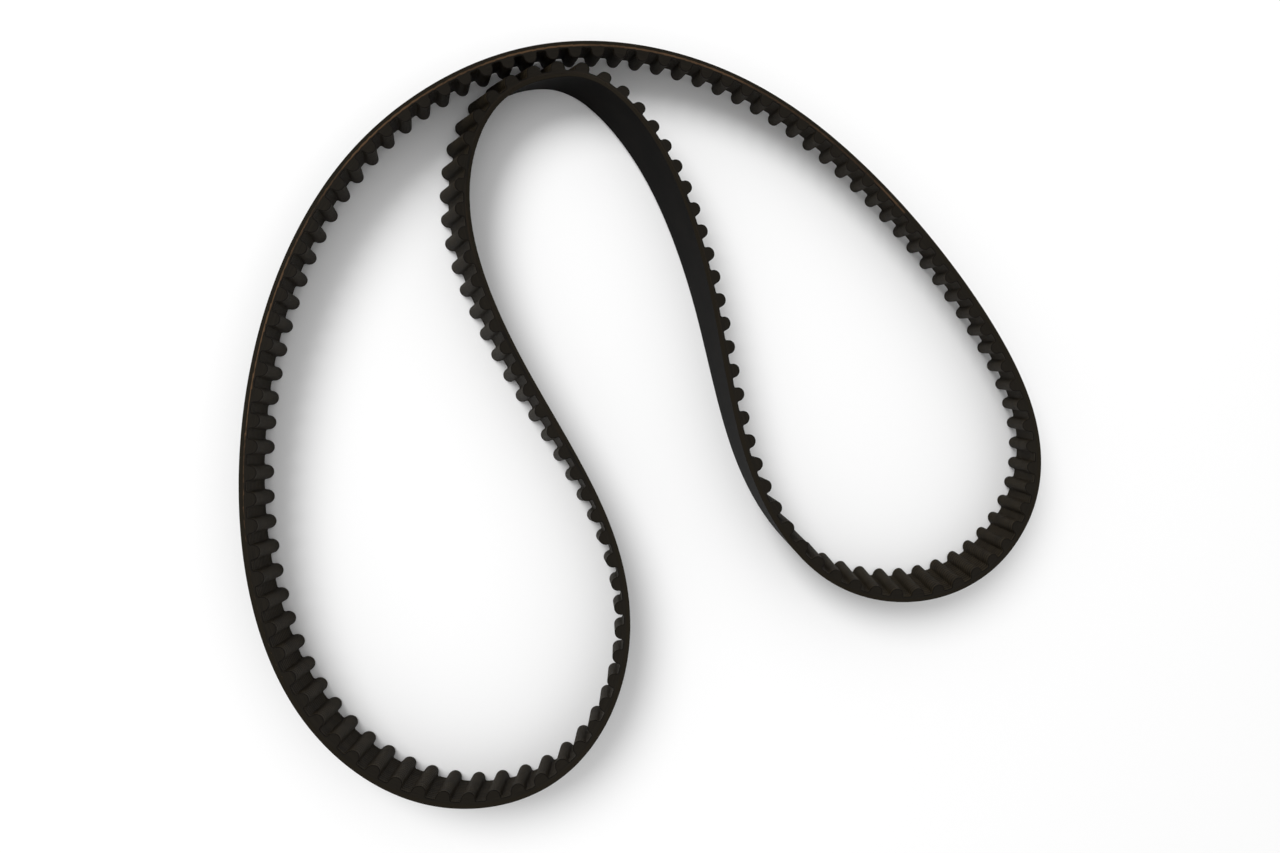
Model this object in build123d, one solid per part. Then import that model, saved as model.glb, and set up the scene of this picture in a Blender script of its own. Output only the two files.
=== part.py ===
from build123d import *
import os
from math import cos, hypot, pi, sin, sqrt

# Endless synchronous (timing) belt with round teeth, standing on one cut edge and bent
# into a loose horseshoe: two lobes joined by an outer run and by an arch that bends back.
# Millimetres, +Z up. The origin is the centre of the footprint, on the surface it stands on.
#
# A place on the belt is given by three numbers:
#   s  distance along the pitch line, 0 to LENGTH, growing from the arch down the left lobe
#   h  distance from the pitch line, plus towards the teeth, minus towards the back
#   w  distance up the width, 0 at the lower cut edge and WIDTH at the upper one

# ---- driving dimensions -------------------------------------------------------------
PITCH = 9.525            # tooth to tooth on the pitch line (3/8 inch)
TEETH = 148
WIDTH = 21.0
TOOTH_RADIUS = 2.75      # round tip of a tooth
ROOT_RADIUS = 0.75       # hollow where a tooth meets the land
LAND = 0.9               # pitch line to the land between teeth, fabric included
BACK = 1.6               # pitch line to the smooth back
CORD = 1.0               # thickness of a tensile cord
CORD_STEP = 1.05         # cord to neighbouring cord, up the width
FABRIC = 0.25            # thickness of the nylon facing
BOND = 0.04              # left free between two layers, where they are glued
TOOTH_PHASE = 0.85       # where the first tooth stands, in pitches
EDGE_ROUND = 0.02        # softens the change from one resting corner to the other

LENGTH = PITCH * TEETH
TOOTH_CENTRE = LAND + ROOT_RADIUS          # height of a tooth's round centre
TIP = TOOTH_CENTRE + TOOTH_RADIUS
STATIONS_PER_PITCH = 10
BAND_SPANS = TEETH // 4                    # lengths that a smooth band is made in
CORD_SPANS = 8                             # lengths in one turn of a cord

# Control points of the pitch line on the ground, a closed cubic curve, in order along s.
ROUTE = [
    (24, 160), (-5, 148), (-17, 100), (8, 42), (54, -22), (64, -78), (38, -125),
    (-17, -130), (-65, -90), (-84, -24), (-80, 49), (-58, 108), (-25, 146), (19, 171),
    (73, 175), (131, 156), (188, 108), (230, 55), (246, 18), (243, -12), (228, -34),
    (207, -48), (177, -54), (137, -45), (106, -2), (94, 67), (72, 125), (43, 157),
]

# How far the upper edge hangs over the lower one, as the same kind of closed curve.
LEAN = [
    (7, -6), (8, -0.5), (-3, 1), (-4.5, 1), (-3, -0.5), (0, 0), (2.5, -4.5), (-0.5, -7),
    (-5.5, -4), (-8.5, -2), (-0.5, -2.5), (-2.5, -8), (-3.5, -1), (5.5, 3),
]


def on_curve(controls, turn):
    """Point of the closed uniform cubic curve at turn (0 to 1 once round)."""
    x = (turn % 1.0) * len(controls)
    i = int(x)
    f = x - i
    weights = ((1 - f) ** 3, 3 * f ** 3 - 6 * f ** 2 + 4, -3 * f ** 3 + 3 * f ** 2 + 3 * f + 1, f ** 3)
    picked = [controls[(i + k - 1) % len(controls)] for k in range(4)]
    return tuple(sum(w * p[axis] for w, p in zip(weights, picked)) / 6 for axis in (0, 1))


def even_turns(count):
    """Turn values that are evenly spaced along the route, and the route's own length."""
    fine = 40 * count
    points = [on_curve(ROUTE, k / fine) for k in range(fine + 1)]
    run = [0.0]
    for (x0, y0), (x1, y1) in zip(points, points[1:]):
        run.append(run[-1] + hypot(x1 - x0, y1 - y0))
    turns, k = [], 0
    for station in range(count):
        target = run[-1] * station / count
        while run[k + 1] < target:
            k += 1
        turns.append((k + (target - run[k]) / (run[k + 1] - run[k])) / fine)
    return turns, run[-1]


STATIONS = TEETH * STATIONS_PER_PITCH
TURNS, DRAWN_LENGTH = even_turns(STATIONS)
SCALE = LENGTH / DRAWN_LENGTH              # brings the drawn route to the exact length


def make_frames():
    """At each station: the pitch line's lower end, and the unit vectors h and w run along."""
    path = [on_curve(ROUTE, turn) for turn in TURNS]
    frames = []
    for k, turn in enumerate(TURNS):
        (x0, y0), (x1, y1) = path[k - 1], path[(k + 1) % STATIONS]
        along = Vector(x1 - x0, y1 - y0, 0).normalized()
        over_x, over_y = on_curve(LEAN, turn)
        across = Vector(over_x, over_y, sqrt(WIDTH ** 2 - over_x ** 2 - over_y ** 2)).normalized()
        inward = along.cross(across).normalized()
        tilt = inward.Z
        lift = (BACK - TIP) / 2 * tilt + (BACK + TIP) / 2 * sqrt(tilt ** 2 + EDGE_ROUND ** 2)
        foot = Vector(path[k][0] * SCALE, path[k][1] * SCALE, lift)
        frames.append((foot, inward, across))
    return frames


FRAMES = make_frames()


def footprint_centre():
    """Middle of the box round the whole belt, seen from above."""
    corners = []
    for foot, inward, across in FRAMES:
        for h in (-BACK, TIP):
            corners += [foot + inward * h, foot + inward * h + across * WIDTH]
    xs = [c.X for c in corners]
    ys = [c.Y for c in corners]
    return Vector((min(xs) + max(xs)) / 2, (min(ys) + max(ys)) / 2, 0)


CENTRE = footprint_centre()


def place(s, h, w):
    """The point of the belt at (s, h, w)."""
    x = s / LENGTH * STATIONS
    k = int(x // 1)
    f = x - k
    foot0, inward0, across0 = FRAMES[k % STATIONS]
    foot1, inward1, across1 = FRAMES[(k + 1) % STATIONS]
    foot = foot0 * (1 - f) + foot1 * f
    inward = inward0 * (1 - f) + inward1 * f
    across = across0 * (1 - f) + across1 * f
    return foot - CENTRE + inward * h + across * w


def ruled(edge_a, edge_b):
    return Face.make_surface_from_curves(edge_a.edge(), edge_b.edge())


def solid_of(faces):
    """The closed solid that the faces bound, turned right side out."""
    solid = Solid(Shell(faces))
    return solid if solid.volume > 0 else Solid(solid.wrapped.Reversed())


def walls(corner, low, high):
    """The four faces round one length of belt, where corner(k, turn) is corner k's place."""
    count = round((high - low) * 2 * TEETH)
    steps = [low + (high - low) * i / count for i in range(count + 1)]
    edges = [Edge.make_spline([corner(k, turn) for turn in steps]) for k in range(4)]
    return [ruled(edges[k - 1], edges[k]) for k in range(4)]


def band(h_low, h_high):
    """An endless band of full width between two distances from the pitch line."""
    corners = ((h_low, 0), (h_low, WIDTH), (h_high, WIDTH), (h_high, 0))
    faces = []
    for span in range(BAND_SPANS):
        low, high = span / BAND_SPANS, (span + 1) / BAND_SPANS
        faces += walls(lambda k, turn: place(turn * LENGTH, *corners[k]), low, high)
    return solid_of(faces)


def tooth_outline(inset):
    """(s, h) points over one pitch, land to land, on the tooth surface set in by inset."""
    tip_radius = TOOTH_RADIUS - inset
    root_radius = ROOT_RADIUS + inset
    foot_s = TOOTH_RADIUS + ROOT_RADIUS
    half = [(PITCH / 2, LAND - inset), (PITCH / 4 + foot_s / 2, LAND - inset), (foot_s, LAND - inset)]
    for angle in (pi / 4, pi / 2):
        half.append((foot_s - root_radius * sin(angle), TOOTH_CENTRE - root_radius * cos(angle)))
    for angle in (pi / 6, pi / 3):
        half.append((tip_radius * cos(angle), TOOTH_CENTRE + tip_radius * sin(angle)))
    left = [(-s, h) for s, h in half]
    return left + [(0, TOOTH_CENTRE + tip_radius)] + half[::-1]


def run_of(outline):
    """How far along an outline each of its points is, from 0 to 1."""
    run = [0.0]
    for (s0, h0), (s1, h1) in zip(outline, outline[1:]):
        run.append(run[-1] + hypot(s1 - s0, h1 - h0))
    return [x / run[-1] for x in run]


MARKS = run_of(tooth_outline(FABRIC / 2))  # keeps the edges of one pitch in step


def pitch_edge(outline, middle, w):
    """The edge over one pitch through an outline's points."""
    return Edge.make_spline([place(middle + s, h, w) for s, h in outline], parameters=MARKS)


def toothed_band(inner, outer):
    """An endless band whose two surfaces are each given by (s, h) points over one pitch."""
    faces = []
    for tooth in range(TEETH):
        middle = (tooth + TOOTH_PHASE) * PITCH
        corners = ((outer, 0), (outer, WIDTH), (inner, WIDTH), (inner, 0))
        edges = [pitch_edge(outline, middle, w) for outline, w in corners]
        faces += [ruled(edges[k - 1], edges[k]) for k in range(4)]
    return solid_of(faces)


def wound_cord(first):
    """One cord, wound as a screw up the width and cut off by the two cut edges."""
    lead = 2 * CORD_STEP
    thin_end = 0.2 * CORD
    start = (thin_end - CORD / 2 - first) / lead
    end = (WIDTH - thin_end + CORD / 2 - first) / lead
    sides = ((-CORD / 2, -1), (-CORD / 2, 1), (CORD / 2, 1), (CORD / 2, -1))

    def corner(k, turn):
        h, side = sides[k]
        w = first + lead * turn + side * CORD / 2
        return place(turn * LENGTH, h, min(max(w, 0), WIDTH))

    count = round((end - start) * CORD_SPANS)
    cuts = [start + (end - start) * k / count for k in range(count + 1)]
    faces = []
    for low, high in zip(cuts, cuts[1:]):
        faces += walls(corner, low, high)
    for turn in (start, end):
        faces.append(ruled(Line(corner(0, turn), corner(1, turn)), Line(corner(3, turn), corner(2, turn))))
    return solid_of(faces)


def write(node, shape):
    shape.label = node
    export_step(shape, f"parts/{node}.step")
    size = shape.bounding_box().size
    print(node, "valid", shape.is_valid, "size", [round(x, 1) for x in size])


def main():
    os.makedirs("parts", exist_ok=True)
    print("belt length", round(LENGTH, 1), "scale", round(SCALE, 4), "thickness", TIP + BACK)
    flat = [(s, CORD / 2 + BOND) for s, h in tooth_outline(FABRIC)]
    write("back_rubber", band(-BACK, -CORD / 2 - BOND))
    write("tensile_cord_s_twist", wound_cord(0))
    write("tensile_cord_z_twist", wound_cord(CORD_STEP))
    write("tooth_rubber", toothed_band(flat, tooth_outline(FABRIC + BOND)))
    write("facing_fabric", toothed_band(tooth_outline(FABRIC), tooth_outline(0)))


main()
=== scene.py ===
# %% [markdown]
# An endless timing belt stands on one cut edge, bent into a loose horseshoe. It is a
# bonded laminate: a smooth rubber back, two glass cords wound side by side, a layer of
# tooth rubber and a woven nylon facing over the teeth. Each layer is a piece of its own.

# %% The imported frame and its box
from math import cos, pi, radians, sin
import bpy
import numpy as np
from mathutils import Matrix, Vector


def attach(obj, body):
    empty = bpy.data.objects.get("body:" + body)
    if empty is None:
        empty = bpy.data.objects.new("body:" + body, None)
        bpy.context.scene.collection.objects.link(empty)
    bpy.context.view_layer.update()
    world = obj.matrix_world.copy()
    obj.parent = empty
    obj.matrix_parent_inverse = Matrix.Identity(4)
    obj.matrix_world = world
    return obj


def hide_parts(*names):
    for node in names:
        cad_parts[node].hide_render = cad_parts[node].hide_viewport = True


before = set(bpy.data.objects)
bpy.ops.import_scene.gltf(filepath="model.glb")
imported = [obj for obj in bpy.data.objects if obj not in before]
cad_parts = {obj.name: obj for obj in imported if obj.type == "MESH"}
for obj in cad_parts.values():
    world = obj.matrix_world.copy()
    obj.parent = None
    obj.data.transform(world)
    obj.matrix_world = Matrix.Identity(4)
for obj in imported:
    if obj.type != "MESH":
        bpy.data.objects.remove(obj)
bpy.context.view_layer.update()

# %% [markdown]
# The belt's sizes, in metres. A place on the belt is (s, w, h): s runs along the pitch
# line, w up the width, h from the pitch line towards the teeth. Making every layer flat
# in these three numbers, and bending it round the loop last, keeps each recipe short.

# %% Sizes of the belt
MM = 0.001
PITCH = 9.525 * MM
TEETH = 148
WIDTH = 21 * MM
LENGTH = PITCH * TEETH
TOOTH_RADIUS = 2.75 * MM
ROOT_RADIUS = 0.75 * MM
LAND = 0.9 * MM
BACK = 1.6 * MM
CORD_LAYER = 0.54 * MM       # half of the layer that the cords lie in
CORD_STEP = 1.05 * MM
FABRIC = 0.25 * MM
FIRST_TOOTH = 0.85           # in pitches
TOOTH_CENTRE = LAND + ROOT_RADIUS
TIP = TOOTH_CENTRE + TOOTH_RADIUS
EDGE_ROUND = 0.02            # softens the change from one resting corner to the other
WELD = 0.0005 * MM           # corners nearer than this are one corner
print("belt length", round(LENGTH, 4), "thickness", round(TIP + BACK, 4))

# %% [markdown]
# The route is a closed cubic curve on the floor, drawn with a few control points. A
# second closed curve says how far the upper edge hangs over the lower one, because a
# free belt leans where it bends. Both are smooth by construction, so no bend has a kink.

# %% The route on the floor and the lean, in millimetres
ROUTE = np.array([
    (24, 160), (-5, 148), (-17, 100), (8, 42), (54, -22), (64, -78), (38, -125),
    (-17, -130), (-65, -90), (-84, -24), (-80, 49), (-58, 108), (-25, 146), (19, 171),
    (73, 175), (131, 156), (188, 108), (230, 55), (246, 18), (243, -12), (228, -34),
    (207, -48), (177, -54), (137, -45), (106, -2), (94, 67), (72, 125), (43, 157)]) * MM
LEAN = np.array([
    (7, -6), (8, -0.5), (-3, 1), (-4.5, 1), (-3, -0.5), (0, 0), (2.5, -4.5), (-0.5, -7),
    (-5.5, -4), (-8.5, -2), (-0.5, -2.5), (-2.5, -8), (-3.5, -1), (5.5, 3)]) * MM


def on_curve(controls, turns):
    """Points of a closed cubic curve, where turns run from 0 to 1 once round."""
    x = (turns % 1) * len(controls)
    i = x.astype(int)
    f = (x - i)[:, None]
    weights = (
        (1 - f) ** 3, 3 * f ** 3 - 6 * f ** 2 + 4, -3 * f ** 3 + 3 * f ** 2 + 3 * f + 1, f ** 3)
    return sum(w * controls[(i + k - 1) % len(controls)] for k, w in enumerate(weights)) / 6


# %% [markdown]
# The guide holds one vertex for each station along the route, evenly spaced, with two
# directions stored on it: inward, which h runs along, and across, which w runs along.
# Where the belt leans, its lowest corner changes side, so each station is lifted by the
# height of that corner. Then the whole edge stands on the floor.

# %% Measure the route and place the stations
STATIONS = TEETH * 10
fine = np.linspace(0, 1, 40 * STATIONS + 1)
steps = np.linalg.norm(np.diff(on_curve(ROUTE, fine), axis=0), axis=1)
run = np.concatenate([[0], np.cumsum(steps)])
turns = np.interp(np.arange(STATIONS) * run[-1] / STATIONS, run, fine)
path = on_curve(ROUTE, turns)
print("route drawn", round(run[-1], 4), "scaled to", round(LENGTH, 4))


def unit(vectors):
    return vectors / np.linalg.norm(vectors, axis=1)[:, None]


along = unit(np.roll(path, -1, 0) - np.roll(path, 1, 0))
lean = on_curve(LEAN, turns)
across = unit(np.column_stack([lean, np.sqrt(WIDTH ** 2 - (lean ** 2).sum(1))]))
inward = unit(np.cross(np.column_stack([along, np.zeros(STATIONS)]), across))
tilt = inward[:, 2]
lift = (BACK - TIP) / 2 * tilt + (BACK + TIP) / 2 * np.sqrt(tilt ** 2 + EDGE_ROUND ** 2)
foot = np.column_stack([path * LENGTH / run[-1], lift])
rims = np.concatenate([foot + inward * h + across * w for h in (-BACK, TIP) for w in (0, WIDTH)])
centre = (rims.min(0) + rims.max(0)) / 2 * (1, 1, 0)
foot = foot - centre
print("most lean", round(float(np.abs(lean).max() / MM), 1), "mm, most lift", round(lift.max() / MM, 2))

# %% [markdown]
# The stations go into a mesh with no faces. It is never linked to the scene, so it isn't
# rendered or exported, and the trees below only read it.

# %% The guide
guide_mesh = bpy.data.meshes.new("guide")
guide_mesh.from_pydata(foot.tolist(), [], [])
for name, values in (("inward", inward), ("across", across)):
    layer = guide_mesh.attributes.new(name, "FLOAT_VECTOR", "POINT")
    layer.data.foreach_set("vector", values.astype(np.float32).ravel())
guide = bpy.data.objects.new("guide", guide_mesh)
print("guide", len(guide_mesh.vertices), "stations")

# %% [markdown]
# Every node tree here, for shapes and for materials, is built with one small helper. It
# adds a node, sets its options, and fills its sockets with a value or with a link.

# %% The helper that adds a node


def add(tree, kind, inputs=None, **settings):
    """A new node, with options from settings and sockets, by name or number, from inputs."""
    made = tree.nodes.new(kind)
    for name, value in settings.items():
        setattr(made, name, value)
    for key, value in (inputs or {}).items():
        if isinstance(value, bpy.types.NodeSocket):
            tree.links.new(value, made.inputs[key])
        else:
            made.inputs[key].default_value = value
    return made


def new_group(name, sockets):
    """A geometry tree with named inputs and one geometry output."""
    tree = bpy.data.node_groups.new(name, "GeometryNodeTree")
    for label, kind in sockets:
        tree.interface.new_socket(label, in_out="INPUT", socket_type=kind)
    tree.interface.new_socket("Geometry", in_out="OUTPUT", socket_type="NodeSocketGeometry")
    return tree, tree.nodes.new("NodeGroupInput").outputs, tree.nodes.new("NodeGroupOutput")


# %% [markdown]
# The first tree bends a flat layer round the loop. It starts by keeping the flat place as
# an attribute on face corners, because the materials need it later and the last tooth
# meets the first one there. Then it turns s into a station number.

# %% The bending tree: flat place and station number
bend, given, out = new_group("bend_round_the_loop", [
    ("Geometry", "NodeSocketGeometry"), ("Guide", "NodeSocketObject"),
    ("Stations", "NodeSocketInt"), ("Length", "NodeSocketFloat")])


def sum_up(tree, operation, a, b=0.0):
    """One step of arithmetic, on numbers or sockets."""
    return add(tree, "ShaderNodeMath", {0: a, 1: b}, operation=operation).outputs[0]


flat = add(bend, "GeometryNodeStoreNamedAttribute", {
    "Geometry": given["Geometry"], "Name": "belt_place",
    "Value": add(bend, "GeometryNodeInputPosition").outputs[0]},
    domain="CORNER", data_type="FLOAT_VECTOR").outputs[0]
position = add(bend, "GeometryNodeInputPosition").outputs[0]
place = add(bend, "ShaderNodeSeparateXYZ", {0: position}).outputs
turns_round = sum_up(bend, "DIVIDE", place["X"], given["Length"])
station = sum_up(bend, "MULTIPLY", turns_round, given["Stations"])
before = sum_up(bend, "FLOOR", station)
print("tree", bend.name, "has", len(bend.nodes), "nodes so far")

# %% [markdown]
# Each point lies between two stations. A point's place by one station is that station's
# foot, plus h along inward, plus w along across.

# %% The bending tree: a point placed by one station
stations_mesh = add(bend, "GeometryNodeObjectInfo", {"Object": given["Guide"]}).outputs["Geometry"]


def by_station(number):
    """Where a point lies when the guide station of that number places it."""
    index = sum_up(bend, "FLOORED_MODULO", number, given["Stations"])
    found = []
    for name in ("position", "inward", "across"):
        field = add(bend, "GeometryNodeInputNamedAttribute", {"Name": name},
                    data_type="FLOAT_VECTOR")
        found.append(add(bend, "GeometryNodeSampleIndex", {
            "Geometry": stations_mesh, "Value": field.outputs[0], "Index": index},
            data_type="FLOAT_VECTOR").outputs[0])
    for k, amount in ((1, place["Z"]), (2, place["Y"])):
        scaled = add(bend, "ShaderNodeVectorMath", {0: found[k], "Scale": amount},
                     operation="SCALE")
        found[k] = scaled.outputs[0]
    part = add(bend, "ShaderNodeVectorMath", {0: found[1], 1: found[2]}, operation="ADD").outputs[0]
    return add(bend, "ShaderNodeVectorMath", {0: found[0], 1: part}, operation="ADD").outputs[0]


by_near, by_next = by_station(before), by_station(sum_up(bend, "ADD", before, 1.0))
print("tree", bend.name, "has", len(bend.nodes), "nodes so far")

# %% [markdown]
# Mixing the two places gives the bent point. The loop's two ends then meet, so their
# corners are welded. Everything is shaded smooth, apart from edges sharper than 35
# degrees, which a knife or a mould leaves crisp.

# %% The bending tree: mix, weld and shade
CRISP = radians(35)
mixed = add(bend, "ShaderNodeMix", {
    0: sum_up(bend, "SUBTRACT", station, before), 4: by_near, 5: by_next},
    data_type="VECTOR").outputs[1]
bent = add(bend, "GeometryNodeSetPosition", {"Geometry": flat, "Position": mixed}).outputs[0]
closed = add(bend, "GeometryNodeMergeByDistance", {"Geometry": bent, "Distance": WELD}).outputs[0]
smooth = add(bend, "GeometryNodeSetShadeSmooth", {"Geometry": closed}).outputs[0]
angle = add(bend, "GeometryNodeInputMeshEdgeAngle").outputs["Unsigned Angle"]
sharp = add(bend, "FunctionNodeCompare", {0: angle, 1: CRISP}, operation="GREATER_THAN").outputs[0]
crisp = add(bend, "GeometryNodeSetShadeSmooth", {
    "Geometry": smooth, "Selection": sharp, "Shade Smooth": False}, domain="EDGE").outputs[0]
bend.links.new(crisp, out.inputs[0])
print("tree", bend.name, len(bend.nodes), "nodes")

# %% [markdown]
# The second tree repeats one pitch of a layer for every tooth and sends the row through
# the first tree. One pitch is all that has to be drawn, and a change to it reaches all
# 148 teeth.

# %% The tree that repeats one pitch
repeat, given, out = new_group("one_layer", [
    ("Geometry", "NodeSocketGeometry"), ("Guide", "NodeSocketObject"), ("Stations", "NodeSocketInt"),
    ("Length", "NodeSocketFloat"), ("Teeth", "NodeSocketInt"), ("First tooth", "NodeSocketFloat"),
    ("Material", "NodeSocketMaterial")])
pitch = sum_up(repeat, "DIVIDE", given["Length"], given["Teeth"])
start = add(repeat, "ShaderNodeCombineXYZ", {0: sum_up(repeat, "MULTIPLY", pitch, given["First tooth"])})
step = add(repeat, "ShaderNodeCombineXYZ", {0: pitch})
row = add(repeat, "GeometryNodeMeshLine", {
    "Count": given["Teeth"], "Start Location": start.outputs[0], "Offset": step.outputs[0]})
copies = add(repeat, "GeometryNodeInstanceOnPoints", {
    "Points": row.outputs[0], "Instance": given["Geometry"]})
solid = add(repeat, "GeometryNodeRealizeInstances", {0: copies.outputs[0]})
joined = add(repeat, "GeometryNodeMergeByDistance", {
    "Geometry": solid.outputs[0], "Distance": WELD})
bent = add(repeat, "GeometryNodeGroup", node_tree=bend)
for name in ("Guide", "Stations", "Length"):
    repeat.links.new(given[name], bent.inputs[name])
repeat.links.new(joined.outputs[0], bent.inputs["Geometry"])
painted = add(repeat, "GeometryNodeSetMaterial", {
    "Geometry": bent.outputs[0], "Material": given["Material"]})
repeat.links.new(painted.outputs[0], out.inputs[0])
print("tree", repeat.name, len(repeat.nodes), "nodes")

# %% [markdown]
# Colours are written as the sRGB hex values an artist would pick, and one function turns
# them to the linear values that shaders work in.

# %% Colours


def linear(hex_colour):
    """Linear red, green, blue and alpha from an sRGB hex value."""
    parts = [int(hex_colour[k:k + 2], 16) / 255 for k in (1, 3, 5)]
    return tuple(p / 12.92 if p <= 0.04045 else ((p + 0.055) / 1.055) ** 2.4 for p in parts) + (1.0,)


print("linear value of mid grey", round(linear("#808080")[0], 3))

# %% [markdown]
# Three more helpers make a principled material, noise with cells of a real size, and a
# colour between two tones. The noise reads the flat place, so it follows the belt.

# %% Helpers for materials


def new_material(name, colour, roughness, ior, specular=0.5):
    """A material with its principled shader and the values that are the same all over."""
    material = bpy.data.materials.new(name)
    material.use_nodes = True
    shader = material.node_tree.nodes["Principled BSDF"]
    shader.inputs["Base Color"].default_value = linear(colour)
    shader.inputs["Roughness"].default_value = roughness
    shader.inputs["IOR"].default_value = ior
    shader.inputs["Specular IOR Level"].default_value = specular
    return material, material.node_tree, shader


def stretched_noise(tree, cell, detail=2.0):
    """Noise whose cells measure cell, in millimetres, along s, w and h."""
    read = add(tree, "ShaderNodeAttribute", attribute_name="belt_place").outputs["Vector"]
    per_metre = [1 / (c * MM) for c in cell]
    scaled = add(tree, "ShaderNodeVectorMath", {0: read, 1: per_metre}, operation="MULTIPLY")
    return add(tree, "ShaderNodeTexNoise", {
        "Vector": scaled.outputs[0], "Scale": 1.0, "Detail": detail}).outputs[0]


def two_tones(tree, amount, low, dark, high, light):
    """Colour that goes from dark to light as amount goes from low to high."""
    ramp = add(tree, "ShaderNodeValToRGB", {0: amount})
    for element, position, colour in zip(ramp.color_ramp.elements, (low, high), (dark, light)):
        element.position = position
        element.color = linear(colour)
    return ramp.outputs[0]


print("three material helpers are ready")

# %% [markdown]
# The back is rubber filled with carbon black, vulcanised round a drum and then ground to
# thickness. Grinding leaves a dull, even face with faint marks across the belt, so the
# roughness is high and a stretched noise gives the marks, 0.3 mm apart. Within 0.1 mm of
# either edge the face is the knife's, not the grinder's, and a little browner.

# %% Ground back rubber
KNIFE_FACE = 0.1 * MM
ground_rubber, tree, shader = new_material(
    "ground_carbon_black_rubber", "#0b0a08", 0.68, 1.5, 0.06)
marks = stretched_noise(tree, (0.3, 4.0, 4.0), 3.0)
cloud = stretched_noise(tree, (14.0, 9.0, 9.0), 3.0)
belt_place = add(tree, "ShaderNodeAttribute", attribute_name="belt_place")
up_width = add(tree, "ShaderNodeSeparateXYZ", {0: belt_place.outputs["Vector"]}).outputs["Y"]
from_middle = sum_up(tree, "ABSOLUTE", sum_up(tree, "SUBTRACT", up_width, WIDTH / 2))
slit = sum_up(tree, "GREATER_THAN", from_middle, WIDTH / 2 - KNIFE_FACE)
skin = two_tones(tree, cloud, 0.35, "#090807", 0.7, "#0f0d0b")
both = add(tree, "ShaderNodeMix", {0: slit, 6: skin, 7: linear("#1c1811")}, data_type="RGBA")
tree.links.new(both.outputs[2], shader.inputs["Base Color"])
bump = add(tree, "ShaderNodeBump", {"Height": marks, "Strength": 0.35, "Distance": 0.06 * MM})
tree.links.new(bump.outputs[0], shader.inputs["Normal"])
print("material", ground_rubber.name)

# %% [markdown]
# The tooth rubber shows only on the two cut edges, where a knife slit the belt from a
# wide sleeve. The blade leaves a greyer, duller face with fine lines along the belt.

# %% Slit tooth rubber
slit_rubber, tree, shader = new_material("slit_carbon_black_rubber", "#14110c", 0.72, 1.5, 0.1)
lines = stretched_noise(tree, (9.0, 0.6, 0.22), 4.0)
grain = stretched_noise(tree, (0.5, 0.5, 0.5), 3.0)
tree.links.new(two_tones(tree, lines, 0.3, "#0f0c08", 0.72, "#1e1a13"), shader.inputs["Base Color"])
height = sum_up(tree, "ADD", lines, grain)
bump = add(tree, "ShaderNodeBump", {"Height": height, "Strength": 0.5, "Distance": 0.08 * MM})
tree.links.new(bump.outputs[0], shader.inputs["Normal"])
print("material", slit_rubber.name)

# %% [markdown]
# The facing is a stretch nylon cloth soaked in rubber. Each thread goes over one
# neighbour and under the next: a checkerboard chooses which set of threads is on top,
# and a rounded ridge gives each thread its height. The same height also sets the colour,
# from nearly black between threads to brown on their tops. This is painted shade in the
# gaps of the weave, scaled by a noise of real wear. The real threads are about 0.4 mm
# apart; across the belt they are drawn 1.5 mm apart, so that the rows still show.

# %% Woven nylon facing
facing_cloth, tree, shader = new_material("rubber_soaked_woven_nylon", "#110d08", 0.66, 1.5, 0.08)
cloth = add(tree, "ShaderNodeUVMap", uv_map="threads").outputs[0]
threads = add(tree, "ShaderNodeSeparateXYZ", {0: cloth}).outputs


def ridge(across_threads):
    """A rounded ridge over each thread, from 0 between threads to 1 on top."""
    half_turn = sum_up(tree, "MULTIPLY", across_threads, pi)
    return sum_up(tree, "ABSOLUTE", sum_up(tree, "SINE", half_turn))


board = add(tree, "ShaderNodeTexChecker", {
    "Vector": cloth, "Color1": (1, 1, 1, 1), "Color2": (0, 0, 0, 1), "Scale": 1.0}).outputs["Fac"]
over = add(tree, "ShaderNodeMix", {0: board, 2: ridge(threads["X"]), 3: ridge(threads["Y"])}).outputs[0]
rows = sum_up(tree, "MULTIPLY", sum_up(tree, "ADD", over, ridge(threads["Y"])), 0.5)
worn = stretched_noise(tree, (5.0, 3.0, 3.0), 4.0)
# painted shade: the colour darkens towards the gaps between threads, times a noise of real wear
painted_gap_shade_and_wear = sum_up(tree, "MULTIPLY", rows, sum_up(tree, "ADD", worn, 0.4))
# nearly black in the gaps is painted shade, brown is the thread tops
tree.links.new(two_tones(tree, painted_gap_shade_and_wear, 0.3, "#040302", 0.85, "#2d261a"), shader.inputs["Base Color"])
bump = add(tree, "ShaderNodeBump", {"Height": rows, "Strength": 0.8, "Distance": 0.12 * MM})
tree.links.new(bump.outputs[0], shader.inputs["Normal"])
print("material", facing_cloth.name)

# %% [markdown]
# The cords are twisted glass yarns dipped in a brown resin so that rubber sticks to
# them. Where the knife has opened one, its glass shows as a tan line, in patches. Where
# the blade only grazed the other, rubber is smeared over it and it stays nearly black.

# %% Dipped glass cords


def dipped_yarn(name, smeared, opened):
    """Glass yarn that goes, in patches a few centimetres long, from smeared to opened."""
    material, tree, shader = new_material(name, opened, 0.65, 1.5, 0.1)
    patches = stretched_noise(tree, (30.0, 60.0, 60.0), 2.0)
    fibres = stretched_noise(tree, (0.9, 0.12, 0.12), 3.0)
    amount = sum_up(tree, "MULTIPLY", patches, sum_up(tree, "ADD", fibres, 0.5))
    tree.links.new(two_tones(tree, amount, 0.3, smeared, 0.58, opened), shader.inputs["Base Color"])
    print("material", material.name)
    return material


opened_yarn = dipped_yarn("opened_glass_yarn", "#120e09", "#4e3b29")
smeared_yarn = dipped_yarn("rubber_smeared_glass_yarn", "#0e0c09", "#201910")

# %% [markdown]
# A layer starts as one pitch of it: a ring of (w, h) corners for each step along s. The
# ring may change with s, as it does where a tooth rises. The two open ends are left
# without faces, because the next pitch closes them.

# %% One pitch of a layer
ROW = 1.5 * MM               # one row of threads to the next, up the width


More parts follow.
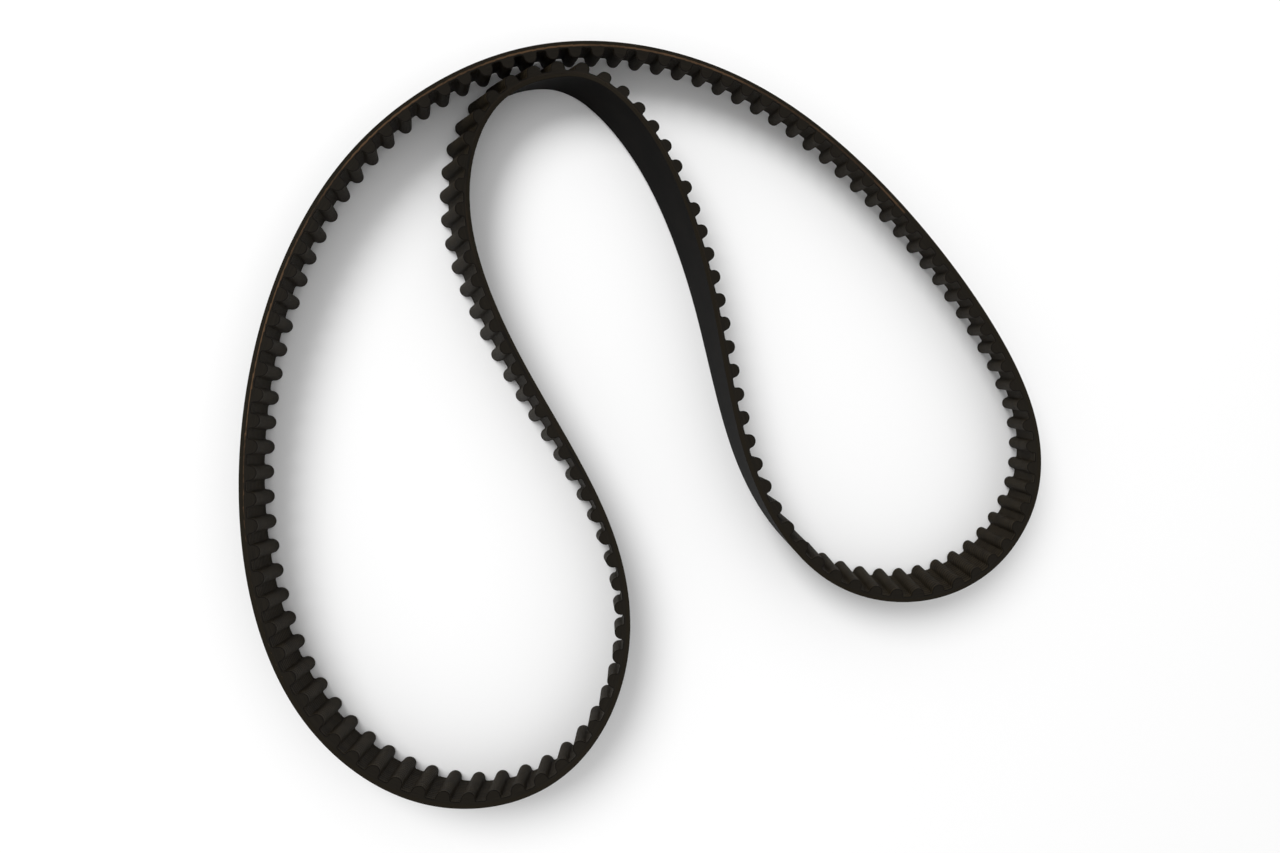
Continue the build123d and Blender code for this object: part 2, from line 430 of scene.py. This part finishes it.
def one_pitch(name, rings, threads=None):
    """A tube through rings of (s, w, h) corners, with thread counts as its UV map."""
    count = len(rings[0])
    corners = [corner for ring in rings for corner in ring]
    faces = []
    for k in range(len(rings) - 1):
        for j in range(count):
            a, b = k * count + j, k * count + (j + 1) % count
            faces.append((a, a + count, b + count, b))
    mesh = bpy.data.meshes.new(name)
    mesh.from_pydata(corners, [], faces)
    if threads:
        uv = mesh.uv_layers.new(name="threads")
        for loop in mesh.loops:
            ring, j = divmod(loop.vertex_index, count)
            uv.data[loop.index].uv = (threads[ring], corners[loop.vertex_index][1] / ROW)
    return bpy.data.objects.new(name, mesh)


def finish_piece(piece, group, values, node):
    """Runs a tree on a piece, keeps the result as a plain mesh, hangs it on the root body and hides the
    imported part named node.
    """
    bpy.context.scene.collection.objects.link(piece)
    modifier = piece.modifiers.new("shape", "NODES")
    modifier.node_group = group
    for socket in group.interface.items_tree:
        if socket.name in values:
            modifier[socket.identifier] = values[socket.name]
    bpy.context.view_layer.update()
    evaluated = piece.evaluated_get(bpy.context.evaluated_depsgraph_get())
    made = bpy.data.meshes.new_from_object(evaluated)
    piece.modifiers.remove(modifier)
    made.materials.clear()
    made.materials.append(values["Material"])
    made.polygons.foreach_set("material_index", [0] * len(made.polygons))
    piece.data = made
    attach(piece, "root")
    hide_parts(node)
    triangles = sum(len(face.vertices) - 2 for face in made.polygons)
    print(piece.name, triangles, "triangles of", values["Material"].name)
    return piece


LOOP = {"Guide": guide, "Stations": STATIONS, "Length": LENGTH}
LAYER = LOOP | {"Teeth": TEETH, "First tooth": FIRST_TOOTH}

# %% [markdown]
# The back is the same all along: a flat slab with its outer corners just broken. At each
# cut edge a lip reaches over the cord layer to the pitch line, since rubber flows round
# the cords there when the belt is cured.

# %% Smooth back
BREAK = 0.12 * MM
LIP = 0.8 * MM
SEAM = 0.01 * MM             # left free where two layers meet
BACK_STEPS = 12              # steps along one pitch


def back_ring(s):
    """Section of the back at s."""
    section = [
        (BREAK, -BACK), (0, -BACK + BREAK), (0, -SEAM), (LIP, -SEAM), (LIP, -CORD_LAYER),
        (WIDTH - LIP, -CORD_LAYER), (WIDTH - LIP, -SEAM), (WIDTH, -SEAM), (WIDTH, -BACK + BREAK),
        (WIDTH - BREAK, -BACK)]
    return [(s, w, h) for w, h in section]


back = one_pitch("smooth_back", [
    back_ring(PITCH * (k / BACK_STEPS - 0.5)) for k in range(BACK_STEPS + 1)])
finish_piece(back, repeat, LAYER | {"Material": ground_rubber}, "back_rubber")

# %% [markdown]
# A tooth's outline is land, hollow, round tip, hollow, land. Setting it in by the
# cloth's thickness gives the rubber's own surface under the facing.

# %% Tooth outline


def tooth_outline(inset):
    """(s, h) points over one pitch, on the tooth surface set in by inset."""
    tip_radius = TOOTH_RADIUS - inset
    root_radius = ROOT_RADIUS + inset
    foot_s = TOOTH_RADIUS + ROOT_RADIUS
    half = [(PITCH / 2 - (PITCH / 2 - foot_s) * k / 3, LAND - inset) for k in range(3)]
    for k in range(7):
        turn = pi / 2 * k / 6
        half.append((foot_s - root_radius * sin(turn), TOOTH_CENTRE - root_radius * cos(turn)))
    for k in range(1, 10):
        turn = pi / 2 * k / 10
        half.append((tip_radius * cos(turn), TOOTH_CENTRE + tip_radius * sin(turn)))
    left = [(-s, h) for s, h in half]
    return left + [(0, TOOTH_CENTRE + tip_radius)] + half[::-1]


print("outline points in one pitch", len(tooth_outline(0)))

# %% [markdown]
# The tooth rubber fills the outline from the pitch line up, over a flat floor above the
# cords. It has the same lips at the cut edges as the back, met at the pitch line.

# %% Tooth rubber


def tooth_ring(s, h):
    """Section of the tooth rubber at s, up to height h."""
    section = [
        (0, SEAM), (0, h), (WIDTH, h), (WIDTH, SEAM), (WIDTH - LIP, SEAM),
        (WIDTH - LIP, CORD_LAYER), (LIP, CORD_LAYER), (LIP, SEAM)]
    return [(s, w, h) for w, h in section]


teeth = one_pitch("tooth_body", [tooth_ring(s, h) for s, h in tooth_outline(FABRIC + SEAM)])
finish_piece(teeth, repeat, LAYER | {"Material": slit_rubber}, "tooth_rubber")

# %% [markdown]
# The facing follows the outline at its full size outside, and set in by its thickness
# inside. Thread counts run along the cloth itself, so the weave isn't squeezed on the
# flanks. A whole number of threads to a pitch keeps the weave unbroken between teeth.

# %% Nylon facing
THREAD = 0.4 * MM            # one thread to the next, along the belt
outside = tooth_outline(0)
inside = tooth_outline(FABRIC)
cloth_run = np.concatenate([[0], np.cumsum(np.linalg.norm(np.diff(outside, axis=0), axis=1))])
thread_count = 2 * round(cloth_run[-1] / (2 * THREAD))
print("cloth in one pitch", round(cloth_run[-1] / MM, 2), "mm,", thread_count, "threads")


def facing_ring(outer, inner):
    """Section of the cloth between an outer and an inner outline point."""
    (s, h), (s_in, h_in) = outer, inner
    return [(s_in, 0, h_in), (s, 0, h), (s, WIDTH, h), (s_in, WIDTH, h_in)]


facing = one_pitch(
    "woven_facing", [facing_ring(a, b) for a, b in zip(outside, inside)],
    (cloth_run / cloth_run[-1] * thread_count).tolist())
finish_piece(facing, repeat, LAYER | {"Material": facing_cloth}, "facing_fabric")

# %% [markdown]
# A cord is a long yarn laid straight in (s, w, h), rising by two cord steps in each turn
# of the belt. A star-shaped section that turns along the way gives the twist. Clamping w
# to the belt's width cuts it off by the knife's two planes, where it then shows as a
# thin pale line. The first ring is turned a little, so that no two of its corners fall
# together where the clamp flattens it. The same bending tree lays it round the loop.

# %% The tree that winds a cord
FIRST_TURN = 0.37            # share of one ring's turn
HOLLOW = 0.78                # valley of the star section, as a share of its radius
wind, given, out = new_group("wound_cord", [
    ("Geometry", "NodeSocketGeometry"), ("Guide", "NodeSocketObject"), ("Stations", "NodeSocketInt"),
    ("Length", "NodeSocketFloat"), ("From", "NodeSocketVector"), ("To", "NodeSocketVector"),
    ("Rings", "NodeSocketInt"), ("Twist", "NodeSocketFloat"), ("Radius", "NodeSocketFloat"),
    ("Width", "NodeSocketFloat"), ("Material", "NodeSocketMaterial")])
line = add(wind, "GeometryNodeCurvePrimitiveLine", {"Start": given["From"], "End": given["To"]})
yarn = add(wind, "GeometryNodeResampleCurve", {"Curve": line.outputs[0], "Count": given["Rings"]})
ring = sum_up(wind, "ADD", add(wind, "GeometryNodeInputIndex").outputs[0], FIRST_TURN)
turn = sum_up(wind, "MULTIPLY", ring, given["Twist"])
twisted = add(wind, "GeometryNodeSetCurveTilt", {"Curve": yarn.outputs[0], "Tilt": turn})
star = add(wind, "GeometryNodeCurveStar", {
    "Points": 4, "Inner Radius": sum_up(wind, "MULTIPLY", given["Radius"], HOLLOW),
    "Outer Radius": given["Radius"]})
tube = add(wind, "GeometryNodeCurveToMesh", {
    "Curve": twisted.outputs[0], "Profile Curve": star.outputs[0], "Fill Caps": True})
spot = add(wind, "ShaderNodeSeparateXYZ", {0: add(wind, "GeometryNodeInputPosition").outputs[0]}).outputs
kept = sum_up(wind, "MINIMUM", sum_up(wind, "MAXIMUM", spot["Y"], 0.0), given["Width"])
level = add(wind, "ShaderNodeCombineXYZ", {0: spot["X"], 1: kept, 2: spot["Z"]})
cut = add(wind, "GeometryNodeSetPosition", {
    "Geometry": tube.outputs[0], "Position": level.outputs[0]})
bent = add(wind, "GeometryNodeGroup", node_tree=bend)
for name in ("Guide", "Stations", "Length"):
    wind.links.new(given[name], bent.inputs[name])
wind.links.new(cut.outputs[0], bent.inputs["Geometry"])
painted = add(wind, "GeometryNodeSetMaterial", {
    "Geometry": bent.outputs[0], "Material": given["Material"]})
real = add(wind, "GeometryNodeRealizeInstances", {0: painted.outputs[0]})
wind.links.new(real.outputs[0], out.inputs[0])
print("tree", wind.name, len(wind.nodes), "nodes")

# %% [markdown]
# The two cords have opposite twist and lie side by side, so each rises by two steps in a
# turn. They start a little below the lower cut edge and end a little above the upper one.
# Being embedded, they run through the rubber lips at the edges.

# %% The two cords
CORD_RADIUS = 0.42 * MM
SHOWN = 0.012 * MM           # how far a cut yarn stands out of the cut face
RUN_OUT = 0.3 * MM           # how far a cord's centre goes past a cut edge
RING_STEP = 2.4 * MM
RING_TURN = radians(50)
for name, first, hand, node, finish in (
        ("cord_s_twist", 0.0, 1, "tensile_cord_s_twist", smeared_yarn),
        ("cord_z_twist", CORD_STEP, -1, "tensile_cord_z_twist", opened_yarn)):
    lead = 2 * CORD_STEP
    low = (-RUN_OUT - first) / lead
    high = (WIDTH + RUN_OUT - first) / lead
    ends = [(t * LENGTH, first + lead * t, 0.0) for t in (low, high)]
    cord = bpy.data.objects.new(name, bpy.data.meshes.new(name))
    values = LOOP | {
        "From": ends[0], "To": ends[1], "Rings": round((high - low) * LENGTH / RING_STEP),
        "Twist": hand * RING_TURN, "Radius": CORD_RADIUS, "Width": WIDTH + SHOWN, "Material": finish}
    finish_piece(cord, wind, values, node)

# %% [markdown]
# The belt stands on a plain sheet of pale paper, far wider than the picture.

# %% The floor
HALF_FLOOR = 3
FLOOR_DROP = 0.2 * MM        # keeps the floor clear of the edge that stands on it
floor_mesh = bpy.data.meshes.new("floor")
floor_mesh.from_pydata([
    (-HALF_FLOOR, -HALF_FLOOR, 0), (HALF_FLOOR, -HALF_FLOOR, 0),
    (HALF_FLOOR, HALF_FLOOR, 0), (-HALF_FLOOR, HALF_FLOOR, 0)], [], [(0, 1, 2, 3)])
floor = bpy.data.objects.new("floor", floor_mesh)
bpy.context.scene.collection.objects.link(floor)
floor.location.z = -FLOOR_DROP
white_paper, tree, shader = new_material("white_paper", "#f4f4f4", 0.9, 1.4)
floor_mesh.materials.append(white_paper)
print("floor", 2 * HALF_FLOOR, "m wide, lowered by", FLOOR_DROP, "m")

# %% [markdown]
# One large soft light from the upper left and an even surround give the soft, short
# shadows of a product set. The plain view transform keeps the floor white and the rubber
# black, as the hex colours say.

# %% Light
world = bpy.data.worlds.new("surround")
bpy.context.scene.world = world
world.use_nodes = True
world.node_tree.nodes["Background"].inputs["Color"].default_value = linear("#ffffff")
world.node_tree.nodes["Background"].inputs["Strength"].default_value = 0.72

lamp_data = bpy.data.lights.new("overhead", "AREA")
lamp_data.shape = "DISK"
lamp_data.size = 1.8
lamp_data.energy = 62
lamp = bpy.data.objects.new("overhead", lamp_data)
lamp.location = (-1.6, 1.4, 2.2)
lamp.rotation_euler = (Vector((0, 0, 0)) - lamp.location).to_track_quat("-Z", "Y").to_euler()
bpy.context.scene.collection.objects.link(lamp)
bpy.context.scene.view_settings.view_transform = "Standard"
print("light", lamp_data.energy, "W")

# %% [markdown]
# The camera looks almost straight down from a third of a metre, over the left lobe, and
# leans a little to the right. So the walls on the far sides show their outer or inner
# faces more the further they are from the point below it.

# %% Camera
NOD, ROLL = -0.04666, -0.19769     # radians
CAMERA_HEIGHT = 0.3298
right = Vector((cos(ROLL), -sin(ROLL) * sin(NOD), -sin(ROLL) * cos(NOD)))
up = Vector((0, cos(NOD), -sin(NOD)))
back_way = right.cross(up)
camera_data = bpy.data.cameras.new("camera")
camera_data.sensor_width = 36
camera_data.lens = 22.58
camera = bpy.data.objects.new("camera", camera_data)
turned = Matrix((right, up, back_way)).transposed().to_4x4()
camera.matrix_world = Matrix.Translation((-centre[0], -centre[1], CAMERA_HEIGHT)) @ turned
bpy.context.scene.collection.objects.link(camera)
bpy.context.scene.camera = camera
print("camera at", [round(x, 3) for x in camera.matrix_world.translation])
